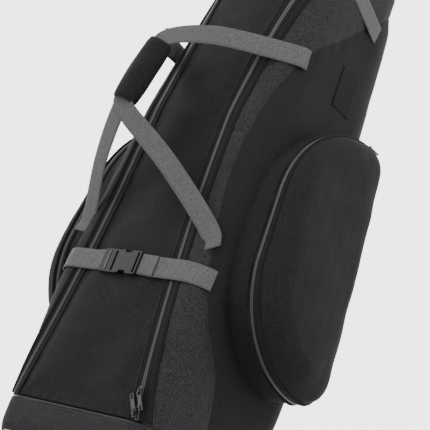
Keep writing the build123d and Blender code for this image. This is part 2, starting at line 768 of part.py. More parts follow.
for side, direction in (("right", 1), ("left", -1)):
    root = pocket_plane(direction, POCKET_ROOT_X, POCKET_BASE_LEAN)
    rim = pocket_plane(direction, POCKET_RIM_X, POCKET_RIM_LEAN)

    with BuildPart() as gusset_room:
        add(pocket_outline(root, POCKET_WALL, direction))
        add(pocket_outline(rim.offset(-RIM_EDGE), POCKET_COIL_IN, direction))
        loft(ruled=True)

    with BuildPart() as gusset:
        add(pocket_outline(root, 0, direction))
        add(pocket_outline(rim.offset(-RIM_EDGE), POCKET_RIM_INSET, direction))
        loft(ruled=True)
        add(gusset_room.part, mode=Mode.SUBTRACT)
        add(FORMS[0], mode=Mode.SUBTRACT)
    save(gusset, f"pocket_gusset_{side}")

    with BuildPart() as dome_room:
        for inset, rise, lean in POCKET_DOME_INNER:
            level = rim.offset(rise).origin
            ring = Plane(origin=level, x_dir=rim.x_dir, z_dir=(direction, 0, lean))
            add(pocket_outline(ring, inset, direction))
        loft(ruled=True)

    with BuildPart() as pocket_lid:
        for inset, rise, lean in POCKET_DOME_OUTER:
            level = rim.offset(rise).origin
            ring = Plane(origin=level, x_dir=rim.x_dir, z_dir=(direction, 0, lean))
            add(pocket_outline(ring, inset, direction))
        loft(ruled=True)
        add(dome_room.part, mode=Mode.SUBTRACT)
    save(pocket_lid, f"pocket_lid_{side}")

    for part_name, start in (("lid_coil", POCKET_COIL_GAP), ("gusset_coil", -RIM_EDGE)):
        with BuildPart() as coil:
            add(pocket_outline(rim.offset(start), POCKET_COIL_OUT, direction))
            extrude(amount=POCKET_COIL, dir=rim.z_dir)
            add(pocket_outline(rim.offset(start), POCKET_COIL_IN, direction))
            extrude(amount=POCKET_COIL, dir=rim.z_dir, mode=Mode.SUBTRACT)
        save(coil, f"pocket_{part_name}_{side}")

    slider_x = direction * ARC_Y
    pin_y = POCKET_SLIDER_LOW + POCKET_SLIDER_THICK + PIN_HEIGHT
    with BuildPart() as pocket_slider:
        with BuildSketch(rim.offset(-POCKET_SLIDER_HALF)):
            with Locations((slider_x, POCKET_SLIDER_LOW + POCKET_SLIDER_THICK / 2)):
                Rectangle(POCKET_SLIDER_LENGTH, POCKET_SLIDER_THICK)
        extrude(amount=2 * POCKET_SLIDER_HALF)
        for start in (-LUG_INNER - LUG_THICK, LUG_INNER):
            with BuildSketch(rim.offset(start)):
                with Locations((slider_x, POCKET_SLIDER_LOW + 1 + LUG_HEIGHT / 2)):
                    Rectangle(LUG_LENGTH, LUG_HEIGHT + 2)
            extrude(amount=LUG_THICK)
        with BuildSketch(rim.offset(-LUG_INNER - LUG_THICK)):
            with Locations((slider_x, pin_y)):
                Circle(PIN_RADIUS)
        extrude(amount=2 * (LUG_INNER + LUG_THICK))
    save(pocket_slider, f"pocket_slider_{side}")

    with BuildPart() as pocket_pull:
        with BuildSketch(rim.offset(-POCKET_PULL_HALF)):
            with Locations(
                (slider_x + direction * (POCKET_PULL_LENGTH / 2 - POCKET_PULL_ROOT), pin_y)
            ):
                Rectangle(POCKET_PULL_LENGTH, PULL_THICK + 0.6)
            with Locations((slider_x, pin_y)):
                Circle(PIN_RADIUS + RUNNING_GAP, mode=Mode.SUBTRACT)
        extrude(amount=2 * POCKET_PULL_HALF)
    save(pocket_pull, f"pocket_pull_{side}")
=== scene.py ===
from math import atan2, cos, pi, radians, sin, sqrt, tan

import bpy
import numpy as np
from mathutils import Matrix, Vector
from mathutils.kdtree import KDTree


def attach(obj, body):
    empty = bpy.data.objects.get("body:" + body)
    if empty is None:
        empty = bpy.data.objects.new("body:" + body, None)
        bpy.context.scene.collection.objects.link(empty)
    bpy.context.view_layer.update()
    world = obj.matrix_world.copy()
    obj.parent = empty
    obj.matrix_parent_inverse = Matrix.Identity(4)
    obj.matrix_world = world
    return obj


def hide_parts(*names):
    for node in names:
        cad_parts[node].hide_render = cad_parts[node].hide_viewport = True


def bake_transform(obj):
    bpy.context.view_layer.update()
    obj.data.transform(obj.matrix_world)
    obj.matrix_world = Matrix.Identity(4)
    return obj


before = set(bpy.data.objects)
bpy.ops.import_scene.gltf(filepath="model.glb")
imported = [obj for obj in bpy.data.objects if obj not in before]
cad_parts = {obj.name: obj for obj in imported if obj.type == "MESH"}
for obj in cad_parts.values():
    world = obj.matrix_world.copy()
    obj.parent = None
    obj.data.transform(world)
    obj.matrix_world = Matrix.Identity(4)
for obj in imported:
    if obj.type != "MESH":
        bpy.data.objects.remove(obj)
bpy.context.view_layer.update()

MM = 0.001

# ---- the case's form, the same stations as the CAD, in millimetres ----
STATIONS = np.array([
    (8, 182, 132.8, 163, 42),
    (22, 187, 138.2, 177, 46),
    (300, 191, 147, 172, 50),
    (650, 175, 158, 158, 84),
    (1000, 142, 131, 143, 98),
    (1230, 104, 99, 105, 84),
    (1280, 70, 66, 70, 60),
    (1298, 36, 34, 36, 32),
])
LEVELS = np.arange(8, 1299, 1.0)
BASE_SEAM = 72
LID_LOW, LID_SHOULDER, LID_TOP = 74, 1080, 1190
CROWN = LID_TOP - LID_SHOULDER
ZIP_RADIUS = 3200  # of the long curve up each side of the lid
ZIP_WAIST, ZIP_WAIST_HEIGHT = 94, 720


def smoothed(column, spread):
    """One measure of the sections against height, with its kinks eased."""
    raw = np.interp(LEVELS, STATIONS[:, 0], STATIONS[:, column])
    reach = int(spread * 3)
    kernel = np.exp(-np.arange(-reach, reach + 1) ** 2 / (2 * spread**2))
    padded = np.concatenate([2 * raw[0] - raw[reach:0:-1], raw, 2 * raw[-1] - raw[-2 : -reach - 2 : -1]])
    return np.convolve(padded, kernel / kernel.sum(), "valid")


MEASURES = [smoothed(column, 9) for column in (1, 2, 3, 4)]


def measures(height):
    """Half width, front, back and corner radius at each height."""
    return [np.interp(height, LEVELS, measure) for measure in MEASURES]


def arc_of_x(x, height):
    """Distance along the section from the middle of the front to where the front has this x."""
    half, _, _, corner = measures(height)
    flat = half - corner
    bend = np.clip((np.abs(x) - flat) / corner, 0, 1)
    return np.sign(x) * (np.minimum(np.abs(x), flat) + corner * np.arcsin(bend))


def arc_to_y(y, height):
    """Distance along the section from the middle of the front to where the right side has this y."""
    half, front, back, corner = measures(height)
    bend = np.clip((corner - front - y) / corner, 0, 1)
    side = np.clip(y - (corner - front), 0, front + back - 2 * corner)
    round_back = np.clip((y - (back - corner)) / corner, 0, 1)
    return half - corner + corner * np.arccos(bend) + side + corner * np.arcsin(round_back)


def length_round(height):
    """Length of the section's outline at a height."""
    half, front, back, corner = measures(height)
    return 4 * (half - corner) + 2 * (front + back - 2 * corner) + 2 * pi * corner


def around(arc, height):
    """Points and outward directions on the case, by distance along the section and height."""
    arc, height = np.broadcast_arrays(np.asarray(arc, float), np.asarray(height, float))
    total = length_round(height)
    half, front, back, corner = measures(height)
    arc = np.mod(arc + total / 2, total) - total / 2
    side = np.sign(arc)
    side[side == 0] = 1
    along = np.abs(arc)
    flat = half - corner
    turn_one = flat + corner * pi / 2
    depth = front + back - 2 * corner
    turn_two = turn_one + depth
    turn_end = turn_two + corner * pi / 2
    angle = np.where(along < flat, 0, np.clip((along - flat) / corner, 0, pi / 2))
    angle = np.where(along > turn_two, pi / 2 + np.clip((along - turn_two) / corner, 0, pi / 2), angle)
    centre_x = np.where(along < flat, along, flat)
    centre_x = np.where(along > turn_end, flat - (along - turn_end), centre_x)
    centre_y = np.where(along < turn_one, corner - front, 0)
    centre_y = np.where(
        along >= turn_one, corner - front + np.clip(along - turn_one, 0, depth), centre_y
    )
    normal_x = np.sin(angle)
    normal_y = -np.cos(angle)
    x = side * (centre_x + corner * normal_x)
    y = centre_y + corner * normal_y
    points = np.stack([x, y, height], -1)
    normals = np.stack([side * normal_x, normal_y, np.zeros_like(x)], -1)
    return points, normals


def zip_half(height, margin=0.0):
    """Half the lid's width at a height, grown by margin, round crown included."""
    height = np.asarray(height, float)
    centre, bend = ZIP_WAIST + ZIP_RADIUS, (ZIP_RADIUS - margin) ** 2
    side = centre - np.sqrt(bend - (np.minimum(height, LID_SHOULDER) - ZIP_WAIST_HEIGHT) ** 2)
    shoulder = centre - sqrt(bend - (LID_SHOULDER - ZIP_WAIST_HEIGHT) ** 2)
    rise = CROWN + margin
    top = LID_TOP + margin
    radius = (shoulder**2 + rise**2) / (2 * rise)
    crown = np.sqrt(np.maximum(radius**2 - (height - (top - radius)) ** 2, 0))
    return np.where(height <= LID_SHOULDER, side, np.where(height >= top, 0, crown))


def waves(points, sizes, seed):
    """Gentle uneven waves, as a sum of sines in scattered directions."""
    rng = np.random.default_rng(seed)
    total = np.zeros(points.shape[:-1])
    for wavelength, height in sizes:
        for _ in range(5):
            direction = rng.normal(size=3)
            direction /= np.linalg.norm(direction)
            phase = rng.uniform(0, 2 * pi)
            total += height / 2.2 * np.sin(points @ direction * 2 * pi / wavelength + phase)
    return total


# ---- seams ----
SEAM_Y = np.array([14, -32, -116, -144, -135, -86, -27, 77, 180])
SEAM_Z = np.array([72, 200, 304, 500, 676, 812, 880, 992, 1075])


def rounded_path(points, steps):
    """A smooth path through points."""
    points = np.asarray(points, float)
    ends = np.vstack([2 * points[0] - points[1], points, 2 * points[-1] - points[-2]])
    share = np.linspace(0, len(points) - 1, steps)
    index = np.minimum(share.astype(int), len(points) - 2)
    t = (share - index)[:, None]
    a, b, c, d = (ends[index + k] for k in range(4))
    return 0.5 * (2 * b + (c - a) * t + (2 * a - 5 * b + 4 * c - d) * t**2 + (3 * b - a - 3 * c + d) * t**3)


SEAM = rounded_path(np.stack([SEAM_Y, SEAM_Z], 1), 500)


def seam_y(height):
    """Where the side seam lies, from front to back, at a height."""
    return np.interp(height, SEAM[:, 1], SEAM[:, 0])


def back_half(height):
    """Half the width of the back panel at a height."""
    return np.interp(height, [BASE_SEAM, 1120], [128, 58])


def both_sides(points):
    """The points, and their mirror image on the left."""
    return [points, points * np.array([-1, 1, 1])]


strip_line = around(arc_to_y(SEAM[:, 0], SEAM[:, 1]), SEAM[:, 1])[0]
CROSS = 616
cross_arc = np.linspace(
    float(arc_of_x(zip_half(CROSS, 14), CROSS)), float(arc_to_y(seam_y(CROSS), CROSS)), 30
)
cross_line = around(cross_arc, np.full(30, CROSS))[0]
back_heights = np.linspace(BASE_SEAM, 1120, 400)
back_arc = length_round(back_heights) / 2 - back_half(back_heights)
back_line = around(back_arc, back_heights)[0]
base_arc = np.linspace(0, float(length_round(BASE_SEAM)), 500)
base_line = around(base_arc, np.full(500, float(BASE_SEAM)))[0]
top_heights = np.linspace(1195, 1298, 60)
top_line = around(np.zeros(60), top_heights)[0]


def tree_of(lines):
    """A search tree over all the points of some lines."""
    tree = KDTree(sum(len(line) for line in lines))
    count = 0
    for line in lines:
        for point in line:
            tree.insert(point, count)
            count += 1
    tree.balance()
    return tree


def distance_to(tree, points):
    """Distance from each point to the nearest one in the tree."""
    flat = points.reshape(-1, 3)
    found = np.array([tree.find(point)[2] for point in flat])
    return found.reshape(points.shape[:-1])


# ---- materials ----
def material(name):
    new = bpy.data.materials.new(name)
    new.use_nodes = True
    shader = new.node_tree.nodes["Principled BSDF"]
    return new, new.node_tree, shader


def add_node(tree, kind, **inputs):
    made = tree.nodes.new(kind)
    for key, value in inputs.items():
        made.inputs[key.replace("_", " ")].default_value = value
    return made


def yarn_ramp(tree, yarn, dark, light, low, high):
    """Two yarn shades, mixed by the weave's noise."""
    ramp = tree.nodes.new("ShaderNodeValToRGB")
    ramp.color_ramp.elements[0].position = low
    ramp.color_ramp.elements[1].position = high
    ramp.color_ramp.elements[0].color = (*dark, 1)
    ramp.color_ramp.elements[1].color = (*light, 1)
    tree.links.new(yarn.outputs["Fac"], ramp.inputs["Fac"])
    return ramp.outputs["Color"]


def cloth(name, dark, light, weave=430, rough=0.82, mask=None, other=None):
    """Woven cloth of two mixed yarn shades. A mask attribute picks other shades and adds seams."""
    new, tree, shader = material(name)
    links = tree.links
    place = tree.nodes.new("ShaderNodeTexCoord")
    yarn = add_node(tree, "ShaderNodeTexNoise", Scale=weave, Detail=5.0, Roughness=0.8)
    links.new(place.outputs["Object"], yarn.inputs["Vector"])
    colour = yarn_ramp(tree, yarn, dark, light, 0.42, 0.62)
    if mask:
        panel = tree.nodes.new("ShaderNodeAttribute")
        panel.attribute_name = mask
        step = tree.nodes.new("ShaderNodeMath")
        step.operation = "GREATER_THAN"
        step.inputs[1].default_value = 0.0
        links.new(panel.outputs["Fac"], step.inputs[0])
        other_colour = yarn_ramp(tree, yarn, *other, 0.36, 0.66)
        mix = tree.nodes.new("ShaderNodeMix")
        mix.data_type = "RGBA"
        links.new(step.outputs[0], mix.inputs["Factor"])
        links.new(colour, mix.inputs["A"])
        links.new(other_colour, mix.inputs["B"])
        colour = mix.outputs["Result"]
        seam = tree.nodes.new("ShaderNodeAttribute")
        seam.attribute_name = "seam"
        near = tree.nodes.new("ShaderNodeMapRange")
        near.inputs["From Min"].default_value = 0.6
        near.inputs["From Max"].default_value = 2.2
        links.new(seam.outputs["Fac"], near.inputs["Value"])
        shade = tree.nodes.new("ShaderNodeMix")
        shade.data_type = "RGBA"
        shade.inputs["A"].default_value = (0.004, 0.004, 0.004, 1)
        links.new(near.outputs["Result"], shade.inputs["Factor"])
        links.new(colour, shade.inputs["B"])
        colour = shade.outputs["Result"]
    links.new(colour, shader.inputs["Base Color"])
    bump = add_node(tree, "ShaderNodeBump", Strength=0.35, Distance=0.0006)
    links.new(yarn.outputs["Fac"], bump.inputs["Height"])
    links.new(bump.outputs["Normal"], shader.inputs["Normal"])
    shader.inputs["Roughness"].default_value = rough
    shader.inputs["Specular IOR Level"].default_value = 0.08
    return new


def solid(name, colour, rough, metal=0.0, coat=0.0, grain=0.0, gloss=0.5):
    new, tree, shader = material(name)
    shader.inputs["Base Color"].default_value = (*colour, 1)
    shader.inputs["Roughness"].default_value = rough
    shader.inputs["Metallic"].default_value = metal
    shader.inputs["Coat Weight"].default_value = coat
    shader.inputs["Specular IOR Level"].default_value = gloss
    if grain:
        noise = add_node(tree, "ShaderNodeTexNoise", Scale=1400.0, Detail=1.0)
        bump = add_node(tree, "ShaderNodeBump", Strength=grain, Distance=0.0003)
        tree.links.new(noise.outputs["Fac"], bump.inputs["Height"])
        tree.links.new(bump.outputs["Normal"], shader.inputs["Normal"])
    return new


DARK = (0.0001, 0.0001, 0.0001)
DARK_LIGHT = (0.0062, 0.0062, 0.0066)
GREY = (0.0012, 0.0012, 0.0013)
GREY_LIGHT = (0.0155, 0.0155, 0.0165)
lid_cloth = cloth("lid_cloth", DARK, DARK_LIGHT)
shell_cloth = cloth("shell_cloth", GREY, GREY_LIGHT, mask="side", other=(DARK, DARK_LIGHT))
pocket_cloth = cloth("pocket_cloth", DARK, DARK_LIGHT)
lining_cloth = cloth("lining_cloth", (0.006, 0.006, 0.0066), (0.013, 0.013, 0.014), weave=1500)
tape_cloth = cloth("tape_cloth", (0.001, 0.001, 0.001), (0.0032, 0.0032, 0.0032), weave=1600)
coil_nylon = solid("coil_nylon", (0.006, 0.006, 0.0064), 0.42, grain=0.6, gloss=0.3)
webbing = cloth("webbing", (0.014, 0.014, 0.0145), (0.052, 0.052, 0.054), weave=700, rough=0.7)
dark_webbing = cloth("dark_webbing", (0.006, 0.006, 0.006), (0.02, 0.02, 0.02), weave=1100)
black_plastic = solid("black_plastic", (0.002, 0.002, 0.0022), 0.3, grain=0.15, gloss=0.14)
grey_plastic = solid("grey_plastic", (0.018, 0.018, 0.02), 0.5, grain=0.3)
tyre_rubber = solid("tyre_rubber", (0.006, 0.006, 0.006), 0.16, coat=0.6)
steel = solid("steel", (0.5, 0.5, 0.52), 0.3, metal=1.0)
zip_black = solid("zip_black", (0.004, 0.004, 0.0045), 0.3, gloss=0.25)


# ---- mesh helpers ----
def grid_object(name, points, mat, closed=False, flip=False, attributes=None, skip=None):
    """A mesh from rows and columns of points in millimetres."""
    rows, columns = points.shape[:2]
    mesh = bpy.data.meshes.new(name)
    index = np.arange(rows * columns).reshape(rows, columns)
    if closed:
        index = np.hstack([index, index[:, :1]])
    quads = np.stack([index[:-1, :-1], index[:-1, 1:], index[1:, 1:], index[1:, :-1]], -1)
    keep = np.ones(quads.shape[:2], bool) if skip is None else ~skip(points)
    quads = quads[keep].reshape(-1, 4)
    if flip:
        quads = quads[:, ::-1]
    mesh.from_pydata((points.reshape(-1, 3) * MM).tolist(), [], quads.tolist())
    for key, values in (attributes or {}).items():
        layer = mesh.attributes.new(key, "FLOAT", "POINT")
        layer.data.foreach_set("value", values.astype(np.float32).ravel())
    mesh.shade_smooth()
    made = bpy.data.objects.new(name, mesh)
    bpy.context.collection.objects.link(made)
    made.data.materials.append(mat)
    return made


def apply_modifiers(made):
    """Bake an object's modifiers into its mesh."""
    bpy.context.view_layer.update()
    graph = bpy.context.evaluated_depsgraph_get()
    mesh = bpy.data.meshes.new_from_object(made.evaluated_get(graph))
    made.modifiers.clear()
    made.data = mesh
    return made


def thicken(made, depth, lining=None):
    """Give a sheet of mesh an inner face, in its own lining."""
    layer = made.modifiers.new("thick", "SOLIDIFY")
    layer.thickness = depth * MM
    layer.offset = -1
    if lining:
        made.data.materials.append(lining)
        layer.material_offset = 1
    return apply_modifiers(made)


def weld(made, distance):
    layer = made.modifiers.new("weld", "WELD")
    layer.merge_threshold = distance
    return apply_modifiers(made)


# ---- the body of the case ----
WALL = 9.0
EDGE = 9.0
rows = np.concatenate([np.linspace(8.5, 1250, 372), np.linspace(1253, 1297.5, 22)])
columns = np.linspace(0, 1, 400)
start_arc = arc_of_x(zip_half(rows, EDGE), rows)
start_arc = np.where(rows < BASE_SEAM, 0, start_arc)
arcs = start_arc[:, None] + columns[None, :] * (length_round(rows) - 2 * start_arc)[:, None]
shell_points, shell_normals = around(arcs, rows[:, None])

strip_tree = tree_of(both_sides(strip_line))
seams_tree = tree_of(
    both_sides(strip_line) + both_sides(cross_line) + both_sides(back_line) + [base_line, top_line]
)
to_strip = distance_to(strip_tree, shell_points)
to_seam = distance_to(seams_tree, shell_points)
height_of = shell_points[..., 2]
behind = shell_points[..., 1] > seam_y(height_of)
above_seam = height_of > 1075
side_sign = np.where(behind & ~above_seam, 1.0, -1.0) * to_strip
in_base = height_of < BASE_SEAM
side_sign = np.where(in_base, -5.0, side_sign)
from_zip = (np.abs(shell_points[..., 0]) - zip_half(height_of)) * (shell_points[..., 1] < 0)
from_zip = np.where((shell_points[..., 1] < 0) & (height_of > BASE_SEAM), np.abs(from_zip), 400)
from_edge = np.minimum(to_seam, np.maximum(from_zip - 16, 0))
puff = 4.2 * (1 - np.exp(-((from_edge / 24) ** 2))) - 1.4 * np.exp(-((to_seam / 3.0) ** 2))
shell_waves = waves(shell_points, ((330, 1.6), (140, 0.9), (60, 0.35)), 3)
puff = puff + shell_waves * np.clip(from_edge / 30, 0, 1)
pucker = waves(shell_points, ((26, 0.5),), 5) * np.exp(-(((from_edge - 8) / 10) ** 2))
puff = np.where(in_base, 0.6 * np.clip(to_seam / 8, 0, 1), puff + pucker)
top_fade = np.clip((1298 - height_of) / 40, 0, 1)
shell_points = shell_points + shell_normals * (puff * top_fade)[..., None]


def in_housing(points):
    """Grid cells that fall within the wheel housings."""
    middle = (points[:-1, :-1] + points[1:, 1:]) / 2
    return (np.abs(middle[..., 0]) > 106) & (middle[..., 1] > 108) & (middle[..., 2] < 71)


shell = grid_object(
    "body_shell",
    shell_points,
    shell_cloth,
    attributes={"side": side_sign, "seam": to_seam},
    skip=in_housing,
)
weld(shell, 0.0004)
thicken(shell, WALL, lining_cloth)
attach(shell, "case")
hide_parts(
    "body_padding",
    "body_lining",
    "back_panel",
    "base_band",
    "side_panel_right",
    "side_panel_left",
    "front_strip_right",
    "front_strip_left",
    "hood_panel_right",
    "hood_panel_left",
)

# The crown of the hood, rounded over its highest section.
cap_share = np.linspace(1, 0.02, 10)
cap_arc = np.linspace(0, float(length_round(1297.5)), 120)
cap_rim, _ = around(cap_arc, np.full(120, 1297.5))
cap = cap_rim[None] * np.array([1, 1, 0]) * cap_share[:, None, None]
cap[..., 2] = 1297.5 + 4.5 * (1 - cap_share**2)[:, None]
crown_cap = grid_object("hood_crown", cap, shell_cloth, attributes={
    "side": np.full(cap.shape[:2], -9.0), "seam": np.full(cap.shape[:2], 30.0)})
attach(crown_cap, "case")

# ---- the lid ----
lid_crown_rows = LID_SHOULDER + 96 * np.sin(np.linspace(0.02, pi / 2, 60))
lid_rows = np.concatenate([np.linspace(LID_LOW, LID_SHOULDER, 300), lid_crown_rows])
across = np.linspace(-1, 1, 96)
lid_x = across[None, :] * zip_half(lid_rows, -9)[:, None]
lid_points, lid_normals = around(arc_of_x(lid_x, lid_rows[:, None]), lid_rows[:, None])
lid_edge = np.minimum(
    zip_half(lid_rows, -14)[:, None] - np.abs(lid_x), (lid_rows - LID_LOW)[:, None] + 0 * lid_x
)
crown_out = np.hypot(lid_x, np.maximum(lid_rows - 1065, 0)[:, None])
lid_edge = np.where(lid_rows[:, None] > 1065, np.minimum(lid_edge, 110 - crown_out), lid_edge)
lid_edge = np.maximum(lid_edge, 0)
lid_puff = 6.0 * (1 - np.exp(-((lid_edge / 30) ** 2)))
lid_waves = waves(lid_points, ((260, 2.0), (110, 1.2), (48, 0.45)), 11)
lid_puff = lid_puff + lid_waves * np.clip(lid_edge / 25, 0, 1)
lid_puff = lid_puff + waves(lid_points, ((22, 0.6),), 12) * np.exp(-(((lid_edge - 6) / 9) ** 2))
# The lower strap draws the lid in a little.
lid_puff = lid_puff - 3.0 * np.exp(-(((lid_rows[:, None] - 340) / 26) ** 2)) * np.clip(lid_edge / 20, 0, 1)
lid_points = lid_points + lid_normals * lid_puff[..., None]
lid = grid_object("lid_cover", lid_points, lid_cloth)
thicken(lid, WALL, lining_cloth)
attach(lid, "lid")
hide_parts("lid_panel", "lid_padding", "lid_lining")


# ---- zips ----
SIDE_STEPS = 330


def zip_path():
    """Points and outward directions of the zip line: up the right side, over, down the left."""
    heights = np.linspace(LID_LOW, LID_SHOULDER, SIDE_STEPS)
    sides = np.stack([zip_half(heights), heights], 1)
    shoulder = float(zip_half(LID_SHOULDER))
    radius = (shoulder**2 + CROWN**2) / (2 * CROWN)
    centre = LID_TOP - radius
    start = atan2(LID_SHOULDER - centre, shoulder)
    angle = np.linspace(start, pi / 2, 60)[1:]
    crown = np.stack([radius * np.cos(angle), centre + radius * np.sin(angle)], 1)
    right = np.vstack([sides, crown])
    left = (right * np.array([-1, 1]))[::-1][1:]
    path = np.vstack([right, left])
    along = np.gradient(path, axis=0)
    along /= np.linalg.norm(along, axis=1)[:, None]
    out = np.stack([along[:, 1], -along[:, 0]], 1)
    return path, out


ZIP_PATH, ZIP_OUT = zip_path()


def zip_ribbon(name, profile, mat, body, part=slice(None)):
    """A ribbon along the zip line, with its cross-section given as a profile."""
    path, out = ZIP_PATH[part], ZIP_OUT[part]
    lines = []
    for margin, lift in profile:
        flat = path + out * margin
        height = np.clip(flat[:, 1], 73, 1297)
        spot, normal = around(arc_of_x(flat[:, 0], height), height)
        lines.append(spot + normal * lift)
    made = grid_object(name, np.stack(lines, 0), mat, flip=True)
    thicken(made, 0.8)
    if body:
        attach(made, body)
    return made


# Each profile runs across a ribbon: margin from the zip line, height off the case.
BODY_TAPE = [(0.6, 0.2), (3, 0.5), (8, 0.9), (12, 1.4)]
BODY_FOLD = [(11, 0.2), (12, 3.0), (14.5, 4.4), (18, 4.2), (20.5, 2.4), (21.5, 0.3)]
COIL = [(0.5, 0.2), (0.6, 1.3), (1.6, 1.8), (2.8, 1.4), (3.1, 0.4)]


def mirrored(profile):
    """The same profile on the lid's side of the zip line."""
    return [(-margin, lift) for margin, lift in profile][::-1]


body_tape = zip_ribbon("body_zip_tape_cloth", BODY_TAPE, tape_cloth, "case")
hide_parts("body_zip_tape")
zip_ribbon("body_zip_fold", BODY_FOLD, tape_cloth, "case")
body_coil = zip_ribbon("body_zip_teeth", COIL, coil_nylon, "case")
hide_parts("body_zip_coil")
lid_tape = zip_ribbon("lid_zip_tape_cloth", mirrored(BODY_TAPE), tape_cloth, "lid")
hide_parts("lid_zip_tape")
fold_profile = mirrored([(11, 0.2), (12, 2.2), (14, 3.2), (16, 2.6), (17, 0.4)])
zip_ribbon("lid_zip_fold", fold_profile, lid_cloth, "lid")
lid_coil = zip_ribbon("lid_zip_teeth", mirrored(COIL), coil_nylon, "lid")
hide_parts("lid_zip_coil")

# The cloth that bends where the lid folds aside, in short lengths that follow the curved edge.
HINGE_PROFILE = [(margin, -2.0) for margin in np.linspace(-13, 13, 14)]
count = len(ZIP_PATH)
bands = 10
left_start = count - SIDE_STEPS
edges = np.linspace(left_start, count, bands + 1).astype(int)
for k in range(bands):
    part = slice(edges[k], min(edges[k + 1] + 1, count))
    strip = zip_ribbon(f"hinge_cloth_{k + 1}", HINGE_PROFILE, tape_cloth, None, part)
    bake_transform(strip)


# ---- webbing ----
WEBBING_WIDTH = 38.0
WEBBING_THICK = 1.8
WEBBING_CROWN = 0.25  # how much the weave swells in the middle of its width


def strap(name, arc_start, arc_end, height_at, lift_at):
    """Webbing along the case between two distances round the section."""
    arc = np.linspace(arc_start, arc_end, 120)
    lines = []
    for offset in np.linspace(-WEBBING_WIDTH / 2, WEBBING_WIDTH / 2, 9):
        spot, normal = around(arc, height_at(arc) + offset)
        crown = WEBBING_CROWN * np.cos(offset / WEBBING_WIDTH * pi)
        lines.append(spot + normal * (lift_at(arc) + crown)[..., None])
    made = grid_object(name, np.stack(lines, 0), webbing)
    thicken(made, WEBBING_THICK)
    return made


LOWER_STRAP = 340.0
seam_arc = float(arc_to_y(seam_y(LOWER_STRAP), LOWER_STRAP))


def level(arc):
    """Height of the level strap at every arc length."""
    return np.full_like(arc, LOWER_STRAP)


def rise_to_buckle(inner, outer, high, low):
    """Webbing height off the case: high where it enters the buckle, low where it is sewn."""
    def lift(arc):
        share = np.clip((np.abs(arc) - inner) / (outer - inner), 0, 1)
        return high + (low - high) * share * share * (3 - 2 * share)
    return lift


lower_right = strap("lower_webbing_right", 33, seam_arc + 8, level, rise_to_buckle(33, 70, 9.5, 6.5))
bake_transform(lower_right)
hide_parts("lower_strap_right")
right_fold = strap("lower_webbing_fold", 36, 75, level, rise_to_buckle(36, 75, 12.5, 9.5))
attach(right_fold, "lower_buckle")
lower_left_lift = rise_to_buckle(44, 80, 10.5, 6.5)
lower_left = strap("lower_webbing_left", -seam_arc - 4, -44, level, lower_left_lift)
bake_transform(lower_left)
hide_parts("lower_strap_left")
left_fold = strap("lower_webbing_tail", -76, -42, level, rise_to_buckle(42, 78, 13.5, 9.5))
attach(left_fold, "lid")


UPPER_STRAP = 1030  # height of the upper strap across the front
UPPER_FALL = 0.436  # how far it drops for each millimetre it runs back


def upper_height(arc):
    """Height of the upper strap, which slopes down towards the back."""
    spot = around(arc, np.full_like(arc, 1000.0))[0]
    return UPPER_STRAP - UPPER_FALL * (spot[:, 1] + 127)


upper_end = float(arc_to_y(60.0, 960.0))
upper_right = strap("upper_webbing_right", 0, upper_end, upper_height, rise_to_buckle(0, 40, 9.5, 5))
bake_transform(upper_right)
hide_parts("upper_strap_right")
upper_left_lift = rise_to_buckle(80, 110, 10.5, 5)
upper_left = strap("upper_webbing_left", -upper_end, -80, upper_height, upper_left_lift)
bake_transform(upper_left)
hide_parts("upper_strap_left")


def ribbon_between(name, points, widths_toward, mat, width=WEBBING_WIDTH, thick=WEBBING_THICK):
    """Webbing through free space: points on its middle line, and its width direction at each."""
    middle = rounded_path(points, 90)
    toward = rounded_path(widths_toward, 90)
    along = np.gradient(middle, axis=0)
    along /= np.linalg.norm(along, axis=1)[:, None]
    toward = toward - (toward * along).sum(1)[:, None] * along
    toward /= np.linalg.norm(toward, axis=1)[:, None]
    lines = [middle + toward * offset for offset in np.linspace(-width / 2, width / 2, 7)]
    made = grid_object(name, np.stack(lines, 0), mat)
    thicken(made, thick)
    return made


# ---- carry handle ----
WRAP_LOW = np.array([-56, -268, 603.0])
WRAP_HIGH = np.array([-26, -268, 725.0])
WRAP_LENGTH = np.linalg.norm(WRAP_HIGH - WRAP_LOW)
WRAP_AXIS = (WRAP_HIGH - WRAP_LOW) / WRAP_LENGTH
IN_WRAP = 30  # how far inside the wrap the loops run straight
flat_x = np.array([1.0, 0, -0.24])


def on_case(x, height, lift):
    """The point on the front of the case at this x and height, lifted off its face."""
    level_now = np.array([float(height)])
    spot, normal = around(arc_of_x(np.array([float(x)]), level_now), level_now)
    return (spot + normal * lift)[0]


low_right, low_right_end = on_case(150, 425, 7), on_case(166, 392, 6)
high_right, high_right_end = on_case(140, 792, 7), on_case(155, 796, 6)
right_loop = ribbon_between(
    "handle_webbing_right",
    [
        low_right_end,
        low_right,
        (60, -214, 512),
        WRAP_LOW + (6, 0, -10),
        WRAP_LOW + WRAP_AXIS * IN_WRAP,
        WRAP_HIGH - WRAP_AXIS * IN_WRAP,
        WRAP_HIGH + (10, 0, 10),
        (52, -220, 768),
        high_right,
        high_right_end,
    ],
    [
        (0.9, 0, 0.75),
        (0.9, 0, 0.75),
        (0.8, 0, 0.7),
        (0.95, 0, 0.35),
        flat_x,
        flat_x,
        (0.7, 0.1, -0.7),
        (0.1, 0, -1),
        (0, 0, -1),
        (0, 0, -1),
    ],
    webbing,
)
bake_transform(right_loop)
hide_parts("handle_loop_right")
low_left, low_left_end = on_case(-156, 430, 7), on_case(-161, 396, 6)
high_left, high_left_end = on_case(-140, 792, 7), on_case(-152, 796, 6)
